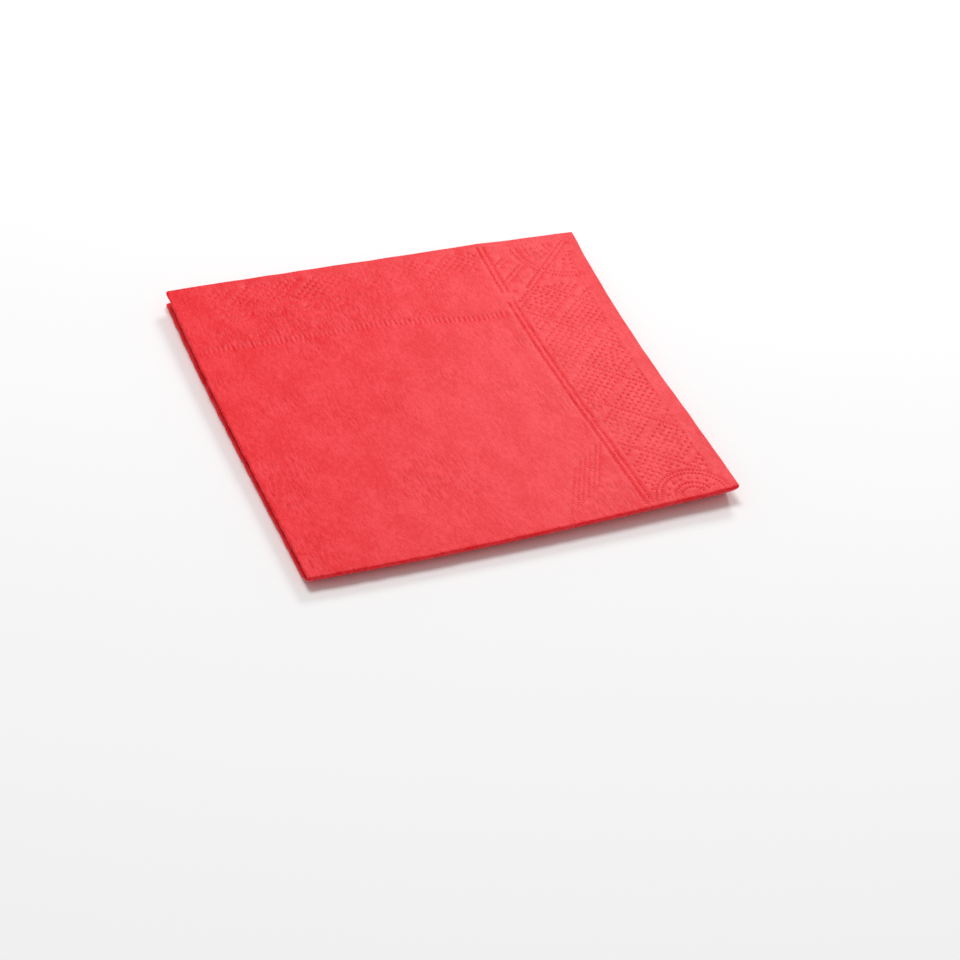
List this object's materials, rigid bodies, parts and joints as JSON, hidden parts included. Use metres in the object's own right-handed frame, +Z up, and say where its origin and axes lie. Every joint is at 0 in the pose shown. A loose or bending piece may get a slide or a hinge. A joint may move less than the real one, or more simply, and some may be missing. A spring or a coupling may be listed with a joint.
{
  "type": "folded paper napkin",
  "caption": "Square tissue napkin folded twice into a flat quarter, with soft creases, loose raw edges and an embossed border line.",
  "frame": {"origin": "on the surface it lies on, under the middle of its outline", "axes": "+Z up through the layers, +X along the second fold from the first fold to the raw side edge, +Y from the second fold to the raw back edge"},
  "size_m": [0.1664, 0.1662, 0.0067],
  "materials": {
    "tissue": "soft matt red tissue paper, several plies, with fine embossed dots in a border"
  },
  "bodies": {
    "root": {"napkin": "tissue"}
  },
  "joints": []
}
